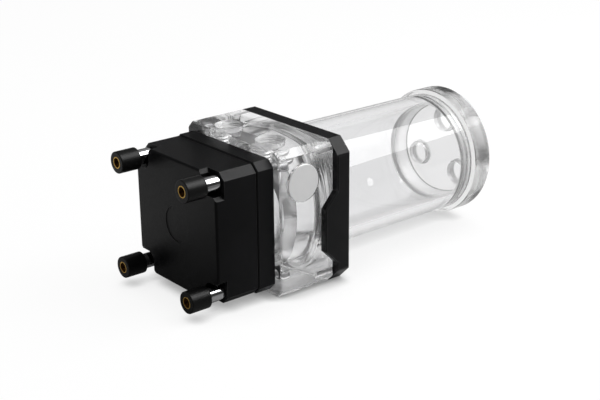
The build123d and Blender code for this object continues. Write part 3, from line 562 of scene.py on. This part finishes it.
def build_thread_tree():
    """Raises or sinks the rows that carry a thread depth along a helix, and gives the cut faces their finish."""
    tree, start, end = start_tree(
        "screw_thread", "GeometryNodeTree",
        {"Geometry": "Geometry", "Pitch": 1.0, "Polished": "Material", "Cut": "Material"}, {"Geometry": "Geometry"},
    )
    depth = shader_node(
        tree, "GeometryNodeInputNamedAttribute", -800, -400, data_type="FLOAT", in_Name="thread_depth"
    )
    where = shader_node(tree, "GeometryNodeInputPosition", -1400, -300)
    x, y, z = split_place(tree, where.outputs[0], -1200, -300)
    share = math_node(tree, "DIVIDE", (math_node(tree, "ARCTAN2", (y, x), -1000, -200), 2 * pi), -850, -200)
    height = math_node(tree, "DIVIDE", (z, start.outputs["Pitch"]), -1000, -50)
    phase = math_node(tree, "FRACT", (math_node(tree, "SUBTRACT", (height, share), -700, -100),), -550, -100)
    saw = math_node(tree, "ABSOLUTE", (math_node(tree, "MULTIPLY_ADD", (phase, 2.0, -1.0), -400, -100),), -250, -100)
    flank = math_node(tree, "MULTIPLY_ADD", (saw, 1.5, -0.25), -100, -100, clamp=True)
    reach = math_node(tree, "MULTIPLY", (flank, depth.outputs["Attribute"]), 50, -200)
    flat = shader_node(tree, "ShaderNodeCombineXYZ", -1000, -500)
    link(tree, x, flat.inputs["X"])
    link(tree, y, flat.inputs["Y"])
    outward = shader_node(tree, "ShaderNodeVectorMath", -700, -600, operation="NORMALIZE")
    link(tree, flat.outputs[0], outward.inputs[0])
    move = shader_node(tree, "ShaderNodeVectorMath", 200, -300, operation="SCALE")
    link(tree, outward.outputs[0], move.inputs[0])
    link(tree, reach, move.inputs["Scale"])
    shape = shader_node(tree, "GeometryNodeSetPosition", 400, 0)
    link(tree, start.outputs["Geometry"], shape.inputs["Geometry"])
    link(tree, move.outputs[0], shape.inputs["Offset"])
    done = paint_cut_faces(tree, shape.outputs[0], start.outputs["Polished"], start.outputs["Cut"], 550)
    link(tree, done, end.inputs[0])
    return tree


thread_tree = build_thread_tree()


def make_object(name, mesh):
    """Adds an object with its mesh to the scene."""
    obj = bpy.data.objects.new(name, mesh)
    scene.collection.objects.link(obj)
    return obj


def store_mesh(name, work):
    """Stores worked geometry as a mesh."""
    mesh = bpy.data.meshes.new(name)
    work.to_mesh(mesh)
    work.free()
    return mesh


def evaluated_mesh(obj):
    """The plain mesh that an object's modifiers make; the object itself is removed."""
    bpy.context.view_layer.update()
    depsgraph = bpy.context.evaluated_depsgraph_get()
    mesh = bpy.data.meshes.new_from_object(obj.evaluated_get(depsgraph), depsgraph=depsgraph)
    bpy.data.objects.remove(obj)
    return mesh


def run_tree(obj, tree, values):
    """Runs a geometry tree on an object and returns the plain mesh that it makes."""
    modifier = obj.modifiers.new(tree.name, "NODES")
    modifier.node_group = tree
    sockets = {item.name: item.identifier for item in tree.interface.items_tree if item.in_out == "INPUT"}
    for name, value in values.items():
        modifier[sockets[name]] = value
    return evaluated_mesh(obj)


def smooth_by_angle(mesh, limit):
    """Smooth faces, with the edges sharp where the surface turns by more than the limit."""
    work = bmesh.new()
    work.from_mesh(mesh)
    for face in work.faces:
        face.smooth = True
    for edge in work.edges:
        edge.smooth = len(edge.link_faces) == 2 and edge.calc_face_angle(0.0) < radians(limit)
    work.to_mesh(mesh)
    work.free()


def plain_steps(*points):
    """Straight steps of a lathe outline that keep the main finish."""
    return [(height, radius, 1, 0.0, False) for height, radius in points]


def cut_steps(*points):
    """Straight steps of a lathe outline that get the cut finish."""
    return [(height, radius, 1, 0.0, True) for height, radius in points]


def rounded(height, radius, edge, outward):
    """Steps of a rounded edge that starts at a height and radius, and swells outward or closes inward."""
    points = []
    for step in range(1, ROUNDING_ROWS + 1):
        angle = pi / 2 * step / ROUNDING_ROWS
        if outward:
            points.append((height + edge * (1 - cos(angle)), radius + edge * sin(angle)))
        else:
            points.append((height + edge * sin(angle), radius - edge * (1 - cos(angle))))
    return plain_steps(*points)


def outline_rows(start, steps):
    """The rows (height, radius, thread depth) of a lathe outline, and whether the faces after each are cut."""
    rows = [(*start, 0.0)]
    cut_rows = []
    height, radius = start
    for next_height, next_radius, count, depth, is_cut in steps:
        length = ((next_height - height) ** 2 + (next_radius - radius) ** 2) ** 0.5
        shares = [step / count for step in range(1, count + 1)]
        if count == 1 and length > LONG_STEP:
            shares = [SUPPORT_ROW / length, 1.0 - SUPPORT_ROW / length, 1.0]
        for share in shares:
            taper = min(1.0, share * RUNOUT_SHARE, (1 - share) * RUNOUT_SHARE)
            rows.append((
                height + (next_height - height) * share,
                radius + (next_radius - radius) * share,
                depth * taper,
            ))
            cut_rows.append(is_cut)
        height, radius = next_height, next_radius
    if (height, radius) == tuple(start):
        rows.pop()
    return rows, cut_rows


def lathe(name, start, steps, finish, cut_finish, place, pitch=1.0, segments=128):
    """Turns an outline of (height, radius) in mm round Z, threads it, and puts it in place.

    Each step is (height, radius, rows, thread depth, is cut) and leads on from the point before.
    A long plain step gets a row close to each end, so that it stays straight in its shading.
    An outline that comes back to its start makes a ring; one that ends on the axis makes a solid.
    """
    rows, cut_rows = outline_rows(start, steps)
    work = bmesh.new()
    depth_layer = work.verts.layers.float.new("thread_depth")
    cut_layer = work.faces.layers.bool.new("cut_face")
    rings = []
    for height, radius, depth in rows:
        count = 1 if radius < ON_AXIS else segments
        ring_verts = []
        for spoke in range(count):
            angle = 2 * pi * spoke / segments
            vert = work.verts.new((radius * MM * cos(angle), radius * MM * sin(angle), height * MM))
            vert[depth_layer] = depth * MM
            ring_verts.append(vert)
        rings.append(ring_verts)
    for index, is_cut in enumerate(cut_rows):
        low, high = rings[index], rings[(index + 1) % len(rings)]
        for spoke in range(segments):
            after = (spoke + 1) % segments
            if len(low) == 1:
                corners = (low[0], high[after], high[spoke])
            elif len(high) == 1:
                corners = (low[spoke], low[after], high[0])
            else:
                corners = (low[spoke], low[after], high[after], high[spoke])
            face = work.faces.new(corners)
            face[cut_layer] = is_cut
    bmesh.ops.recalc_face_normals(work, faces=work.faces)
    obj = make_object(name, store_mesh(name, work))
    result = run_tree(obj, thread_tree, {"Pitch": pitch * MM, "Polished": finish, "Cut": cut_finish})
    result.name = name
    result.transform(place)
    return result


def along(x, y=0.0, z=0.0):
    """Places a lathe outline parallel to the unit's axis, at y and z in mm from it."""
    return Matrix.Translation((x * MM, y * MM, z * MM)) @ ALONG


def lengthways(x):
    """Lays a lathe outline along X with no height, for the corner tree to spread and lift."""
    return Matrix.Translation((x * MM, 0, 0)) @ LENGTHWAYS


def upright(x, y, z):
    """Places a lathe outline upright at a point in mm."""
    return Matrix.Translation((x * MM, y * MM, z * MM))


def close_sides(work, low, high):
    """Joins two outlines of the same number of points by a band of faces."""
    for index in range(len(low)):
        after = (index + 1) % len(low)
        work.faces.new((low[index], low[after], high[after], high[index]))


def prism(name, outline, depth, finish, place):
    """A straight solid from an outline in mm, extruded along its own Z."""
    work = bmesh.new()
    low = [work.verts.new((a * MM, b * MM, 0)) for a, b in outline]
    high = [work.verts.new((a * MM, b * MM, depth * MM)) for a, b in outline]
    work.faces.new(low)
    work.faces.new(high)
    close_sides(work, low, high)
    bmesh.ops.recalc_face_normals(work, faces=work.faces)
    mesh = store_mesh(name, work)
    mesh.materials.append(finish)
    mesh.transform(place)
    return mesh


def cut_from(name, mesh, cutters):
    """Cuts the cutters out of a solid, whose new faces keep the cutters' finish."""
    obj = make_object(name, mesh)
    tools = []
    for index, cutter in enumerate(cutters):
        tool = make_object(f"{name}_tool_{index}", cutter)
        tools.append(tool)
        modifier = obj.modifiers.new(f"cut_{index}", "BOOLEAN")
        modifier.operation = "DIFFERENCE"
        modifier.solver = "MANIFOLD"
        modifier.material_mode = "TRANSFER"
        modifier.object = tool
    result = evaluated_mesh(obj)
    for tool in tools:
        bpy.data.objects.remove(tool)
    result.name = name
    return result


def dress(name, mesh, body, slot, *replaced, limit=SHARP_ANGLE):
    """Puts a finished mesh on its body in place of the CAD nodes it stands for."""
    smooth_by_angle(mesh, limit)
    obj = make_object(name, mesh)
    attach(obj, body)
    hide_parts(*replaced)


# Cutters

def port_cutter(name, depth, place, finish, floor=0.0, plain=0.0):
    """The hole of a threaded port, with its chamfered mouth at the top and a plain length at the bottom."""
    mouth = PORT_RADIUS + PORT_FLARE
    rows = int((depth - plain) * PORT_ROWS_PER_MM)
    steps = cut_steps((-floor, PORT_RADIUS), (plain, PORT_RADIUS))
    steps.append((depth - PORT_MOUTH, PORT_RADIUS, rows, PORT_CREST - PORT_RADIUS, True))
    steps += cut_steps((depth + PORT_FLARE - PORT_MOUTH, mouth), (depth + OVERCUT, mouth), (depth + OVERCUT, 0.0))
    return lathe(name, (-floor, 0.0), steps, finish, finish, place, PORT_PITCH, 96)


def rod(name, radius, length, place, finish, segments=96):
    """A plain round bar, to cut a bore with."""
    steps = cut_steps((0.0, radius), (length, radius), (length, 0.0))
    return lathe(name, (0.0, 0.0), steps, finish, finish, place, segments=segments)


def ring(name, inner, outer, length, place, finish):
    """A plain ring, to cut a groove with."""
    steps = cut_steps((0.0, outer), (length, outer), (length, inner), (0.0, inner))
    return lathe(name, (0.0, inner), steps, finish, finish, place)


# Small pieces, four of each

def build_corner_tree():
    """Sets one piece at each corner of a square round the unit's axis."""
    tree, start, end = start_tree(
        "four_corners", "GeometryNodeTree",
        {"Geometry": "Geometry", "Spacing": CORNER_SPACING * MM, "Finish": "Material", "Thread": "Material"},
        {"Geometry": "Geometry"},
    )
    grid = shader_node(tree, "GeometryNodeMeshGrid", -650, 200, in_Vertices_X=2, in_Vertices_Y=2)
    link(tree, start.outputs["Spacing"], grid.inputs["Size X"])
    link(tree, start.outputs["Spacing"], grid.inputs["Size Y"])
    upended = shader_node(
        tree, "GeometryNodeTransform", -450, 200,
        in_Rotation=(0.0, pi / 2, 0.0), in_Translation=(0.0, 0.0, AXIS_HEIGHT),
    )
    link(tree, grid.outputs["Mesh"], upended.inputs["Geometry"])
    placed = shader_node(tree, "GeometryNodeInstanceOnPoints", -250, 0)
    link(tree, upended.outputs[0], placed.inputs["Points"])
    link(tree, start.outputs["Geometry"], placed.inputs["Instance"])
    done = paint_cut_faces(tree, placed.outputs[0], start.outputs["Finish"], start.outputs["Thread"], -50)
    link(tree, done, end.inputs[0])
    return tree


corner_tree = build_corner_tree()


def corner_set(name, piece, finish, thread, spacing=CORNER_SPACING):
    """Repeats a turned piece, laid lengthways, at the four corners."""
    obj = make_object(name, piece)
    mesh = run_tree(obj, corner_tree, {"Spacing": spacing * MM, "Finish": finish, "Thread": thread})
    mesh.name = name
    return mesh


def make_inserts():
    """Brass inserts with their inner threads, whose brass is darkened as a painted shade of the hole."""
    mouth = STUD_RADIUS + 0.22
    steps = plain_steps((0.0, INSERT_RADIUS - 0.1), (0.1, INSERT_RADIUS), (INSERT_LENGTH, INSERT_RADIUS))
    steps += cut_steps((INSERT_LENGTH, STUD_RADIUS))
    steps.append((0.4, STUD_RADIUS, 36, 0.3, True))
    steps += cut_steps((0.0, mouth))
    piece = lathe(
        "insert", (0.0, mouth), steps, insert_brass, insert_thread_shaded, lengthways(DAMPER_FRONT), STUD_PITCH, 48
    )
    return corner_set("brass_inserts", piece, insert_brass, insert_thread_shaded)


def make_dampers():
    """Rubber cylinders with rounded rims, bored for the insert and let in for the stud's head."""
    bore, head_seat, seat_floor = INSERT_RADIUS + 0.05, STUD_HEAD_RADIUS + 0.05, 8.35
    rim, shoulder, rear = 4.65, 9.6, 9.95
    steps = plain_steps((INSERT_LENGTH, bore), (0.0, bore), (0.0, rim))
    steps += rounded(0.0, rim, RIM_ROUNDING, True)
    steps += plain_steps((shoulder, DAMPER_RADIUS))
    steps += rounded(shoulder, DAMPER_RADIUS, RIM_ROUNDING, False)
    steps += plain_steps((rear, head_seat), (seat_floor, head_seat), (seat_floor, 0.0))
    piece = lathe(
        "damper", (INSERT_LENGTH, 0.0), steps, damper_rubber, damper_rubber, lengthways(DAMPER_FRONT), segments=64
    )
    return corner_set("damper_rubbers", piece, damper_rubber, damper_rubber)


def make_studs():
    """Steel studs with a flat head, moulded into the dampers' backs."""
    head, tip = STUD_HEAD_RADIUS, 6.1
    steps = plain_steps((0.0, head - 0.2), (0.2, head), (1.4, head), (1.6, head - 0.2), (1.6, STUD_RADIUS))
    steps.append((tip - 0.3, STUD_RADIUS, 36, -0.25, True))
    steps += plain_steps((tip, STUD_RADIUS - 0.3), (tip, 0.0))
    piece = lathe(
        "stud", (0.0, 0.0), steps, stud_steel, stud_thread, lengthways(POST_FRONT - 1.65), STUD_PITCH, 32
    )
    return corner_set("damper_stud_set", piece, stud_steel, stud_thread)


def make_posts():
    """Bright turned posts whose threaded ends reach through cover and ring into the block."""
    bore, bore_depth, rim = STUD_RADIUS + 0.05, 4.7, 3.1
    shoulder, back, tip = 7.55, 7.95, 42.3
    steps = cut_steps((bore_depth, bore), (0.0, bore)) + plain_steps((0.0, rim))
    steps += rounded(0.0, rim, POST_ROUNDING, True)
    steps += plain_steps((shoulder, POST_RADIUS))
    steps += rounded(shoulder, POST_RADIUS, POST_ROUNDING, False)
    steps += plain_steps((back, STUD_RADIUS))
    steps.append((tip - 0.4, STUD_RADIUS, 290, -0.25, True))
    steps += cut_steps((tip, STUD_RADIUS - 0.35), (tip, 0.0))
    piece = lathe(
        "post", (bore_depth, 0.0), steps, post_nickel, stud_thread, lengthways(POST_FRONT), STUD_PITCH, 40
    )
    return corner_set("bright_posts", piece, post_nickel, stud_thread)


def make_plate_screws():
    """Countersunk screws with hexagon sockets and cut threads."""
    head, top, socket_radius = SCREW_HEAD_RADIUS, SCREW_LENGTH - 0.05, 1.04
    steps = cut_steps((0.0, SCREW_RADIUS - 0.4), (0.4, SCREW_RADIUS))
    steps.append((13.4, SCREW_RADIUS, 150, -0.2, True))
    steps += plain_steps((13.65, SCREW_RADIUS), (top - 0.05, head), (top, head - 0.05), (top, 0.0))
    shank = lathe(
        "screw", (0.0, 0.0), steps, screw_oxide, stud_thread, lengthways(PLATE_REAR - SCREW_LENGTH), SCREW_PITCH, 36
    )
    hexagon = [(socket_radius * cos(pi / 3 * k), socket_radius * sin(pi / 3 * k)) for k in range(6)]
    socket = prism("hexagon", hexagon, 2.0, screw_oxide, lengthways(PLATE_REAR - 1.25))
    screw = cut_from("screw", shank, [socket])
    return corner_set("plate_screw_set", screw, screw_oxide, screw_thread, SCREW_SPACING)


# Large clear pieces

def block_body():
    """The block before it is bored: an eight-sided bar with a bevelled front and softly broken edges."""

    def octagon(inset):
        side, edge = BLOCK_HALF - inset, BLOCK_HALF - BLOCK_CHAMFER - inset * 0.41
        return [
            (side, -edge), (side, edge), (edge, side), (-edge, side),
            (-side, edge), (-side, -edge), (-edge, -side), (edge, -side),
        ]

    work = bmesh.new()
    rings = []
    for x, inset in ((BLOCK_FRONT, BLOCK_BEVEL), (BLOCK_FRONT + BLOCK_BEVEL, 0.0), (BLOCK_REAR, 0.0)):
        rings.append([work.verts.new((x * MM, y * MM, z * MM + AXIS_HEIGHT)) for y, z in octagon(inset)])
    work.faces.new(rings[0])
    work.faces.new(rings[-1])
    for low, high in zip(rings, rings[1:]):
        close_sides(work, low, high)
    bmesh.ops.recalc_face_normals(work, faces=work.faces)
    bmesh.ops.bevel(
        work, geom=list(work.edges), offset=EDGE_ROUNDING * MM, segments=2, profile=0.5, affect="EDGES",
        clamp_overlap=True,
    )
    polished, satin, end = range(3)
    for face in work.faces:
        underside, across = face.normal.z < -0.99, abs(face.normal.x) > 0.99
        face.material_index = satin if underside else end if across else polished
    body = store_mesh("clear_block", work)
    for finish in (block_polished, block_satin, block_end):
        body.materials.append(finish)
    return body


def scroll_outline(steps=120):
    """The scroll's outline, which grows evenly round the impeller."""
    points = []
    for step in range(steps + 1):
        angle = radians(SCROLL_START - SCROLL_SWEEP * step / steps)
        radius = SCROLL_RADIUS + SCROLL_GROWTH * step / steps
        points.append((radius * cos(angle), radius * sin(angle)))
    return points


def make_block():
    """The clear pump top, with its scroll, chamber, tube socket, ports and drilled passages."""
    front = BLOCK_FRONT - OVERCUT
    groove_length = GROOVE_DEPTH + OVERCUT
    socket = cut_steps((0.0, SOCKET_RADIUS))
    socket.append((5.2, SOCKET_RADIUS, 30, 0.05, True))
    socket += cut_steps((7.0, SOCKET_RADIUS), (7.0, 0.0))
    cutters = [
        prism("scroll", scroll_outline(), SCROLL_DEPTH + OVERCUT, block_cut, along(front)),
        rod("eye", EYE_RADIUS, 12.0, along(-9.0), block_cut),
        rod("chamber", TUBE_BORE, 14.0, along(CHAMBER_FRONT), block_cut, 160),
        lathe("socket", (0.0, 0.0), socket, block_end, block_end, along(SOCKET_FLOOR), segments=160),
        ring("base_groove", *BASE_GROOVE, groove_length, along(SOCKET_FLOOR - GROOVE_DEPTH), block_cut),
        ring("pump_groove", *PUMP_GROOVE, groove_length, along(front), block_cut),
        port_cutter("outlet_port", TOP_PORT_DEPTH, upright(TOP_PORT_X, -TOP_PORT_Y, TOP_PORT_FLOOR), block_port),
        port_cutter("return_port", TOP_PORT_DEPTH, upright(TOP_PORT_X, TOP_PORT_Y, TOP_PORT_FLOOR), block_port),
        rod("outlet_bore", OUTLET_BORE_RADIUS, 22.8, upright(BLOCK_FRONT + 6.4, -15.5, 36.0), block_cut),
        rod("return_bore", RETURN_BORE_RADIUS, 9.8, upright(BLOCK_FRONT + 13.0, TOP_PORT_Y, 49.0), block_cut),
    ]
    for index, (y, z) in enumerate(corner_places(CORNER_SPACING)):
        cutters.append(rod(f"stud_hole_{index}", STUD_RADIUS + 0.05, 9.2, along(front, y, z), block_cut, 32))
    for index, (y, z) in enumerate(corner_places(SCREW_SPACING)):
        cutters.append(rod(f"screw_hole_{index}", SCREW_RADIUS + 0.05, 9.0, along(7.0, y, z), block_cut, 32))
    disc_seat = Matrix.Translation((DISC_X * MM, -BLOCK_HALF * MM - OVERCUT * MM, DISC_RISE * MM + AXIS_HEIGHT))
    disc_seat @= Matrix.Rotation(radians(-90), 4, "X")
    cutters.append(rod("disc_recess", DISC_SEAT_RADIUS, DISC_DEPTH + OVERCUT, disc_seat, block_polished))
    return cut_from("clear_block", block_body(), cutters)


def make_tube():
    """The clear tube, threaded outside at the block and inside at the cap."""
    length, edge = TUBE_REAR - TUBE_FRONT, EDGE_ROUNDING
    steps = [(edge + 5.3, TUBE_RADIUS, 30, -0.6, True)]
    steps += plain_steps((length - edge, TUBE_RADIUS), (length, TUBE_RADIUS - edge))
    steps += cut_steps(
        (length, MOUTH_RADIUS + 0.2), (length - 0.2, MOUTH_RADIUS),
        (length - MOUTH_DEPTH, MOUTH_RADIUS), (length - MOUTH_DEPTH, TUBE_THREAD_RADIUS),
    )
    steps.append((length - TUBE_THREAD_END, TUBE_THREAD_RADIUS, 30, 0.06, False))
    steps += cut_steps((length - TUBE_THREAD_END - 0.6, TUBE_BORE))
    steps += plain_steps((edge, TUBE_BORE))
    steps += cut_steps((0.0, TUBE_BORE + edge), (0.0, TUBE_RADIUS - edge), (edge, TUBE_RADIUS))
    return lathe(
        "clear_tube", (edge, TUBE_RADIUS), steps, tube_polished, tube_cut, along(TUBE_FRONT), CAP_PITCH, 192
    )


def cap_body():
    """The cap before its ports are cut: a threaded plug with a deep recess, and a flange with rounded rims."""
    rear = PLUG_LENGTH + CAP_THICKNESS
    recess_floor, seat = rear - CAP_FLOOR, PLUG_LENGTH - SEAL_SEAT_DEPTH
    steps = plain_steps((recess_floor, RECESS_RADIUS - EDGE_ROUNDING))
    steps += cut_steps(
        (recess_floor - EDGE_ROUNDING, RECESS_RADIUS),
        (PLUG_FRONT + PLUG_EDGE, RECESS_RADIUS), (PLUG_FRONT, RECESS_RADIUS + PLUG_EDGE),
        (PLUG_FRONT, PLUG_RADIUS - PLUG_EDGE), (PLUG_FRONT + PLUG_EDGE, PLUG_RADIUS),
    )
    steps.append((seat, PLUG_RADIUS, 24, -0.08, True))
    steps += cut_steps((seat, SEAL_SEAT_RADIUS), (PLUG_LENGTH, SEAL_SEAT_RADIUS))
    steps += plain_steps(
        (PLUG_LENGTH, CAP_RADIUS - 0.7), (PLUG_LENGTH + 0.2, CAP_RADIUS - 0.2), (PLUG_LENGTH + 0.7, CAP_RADIUS),
        (rear - 0.7, CAP_RADIUS), (rear - 0.2, CAP_RADIUS - 0.2), (rear, CAP_RADIUS - 0.7), (rear, 0.0),
    )
    body = lathe(
        "clear_cap", (recess_floor, 0.0), steps, cap_polished, cap_cut, along(FLANGE_FRONT - PLUG_LENGTH),
        CAP_PITCH, 192,
    )
    body.materials.append(cap_rim)
    for face in body.polygons:
        x, y, z = face.center / MM
        on_front = abs(x - FLANGE_FRONT) < 0.05
        if on_front or (y * y + (z - AXIS_HEIGHT / MM) ** 2) ** 0.5 > CAP_RADIUS - 0.9:
            face.material_index = len(body.materials) - 1
    return body


def make_cap():
    """The screw cap with its three threaded ports."""
    relief_place = along(CAP_REAR - CAP_FLOOR - 0.5)
    # The relief ring's faces carry grey acrylic: a painted dark line of shade where the recess floor meets its wall
    cutters = [ring("corner_relief", RECESS_RADIUS - 0.6, RECESS_RADIUS - 0.05, 0.9, relief_place, cap_corner_shade)]
    # The ports' walls carry a darker acrylic: painted shade for the dark crescents beside the ports
    for index, angle in enumerate(map(radians, CAP_PORT_ANGLES)):
        place = along(CAP_REAR - CAP_FLOOR, CAP_PORT_RING * cos(angle), CAP_PORT_RING * sin(angle))
        cutters.append(port_cutter(f"cap_port_{index}", CAP_FLOOR, place, cap_port, OVERCUT, CAP_PORT_PLAIN))
    return cut_from("clear_cap", cap_body(), cutters)


build_camera()
build_world()
build_floor()
soft_box("key_box", (0.51, -0.327, 0.69), (-0.02, -0.02, 0.034), (0.62, 0.62), 5.6)

dress("clear_block", make_block(), "base", "block_clear", "pump_top", limit=20.0)
dress("clear_tube", make_tube(), "base", "tube_clear", "reservoir_tube")
dress("clear_cap", make_cap(), "cap", "cap_clear", "end_cap")
dress("brass_inserts", make_inserts(), "base", "insert_brass", "damper_inserts")
dress("damper_rubbers", make_dampers(), "base", "damper_rubber", "rubber_dampers")
dress("damper_stud_set", make_studs(), "base", "stud_steel", "damper_studs")
dress("bright_posts", make_posts(), "base", "post_nickel", "standoffs")
dress("plate_screw_set", make_plate_screws(), "base", "screw_black", "plate_screws")

bpy.context.view_layer.update()
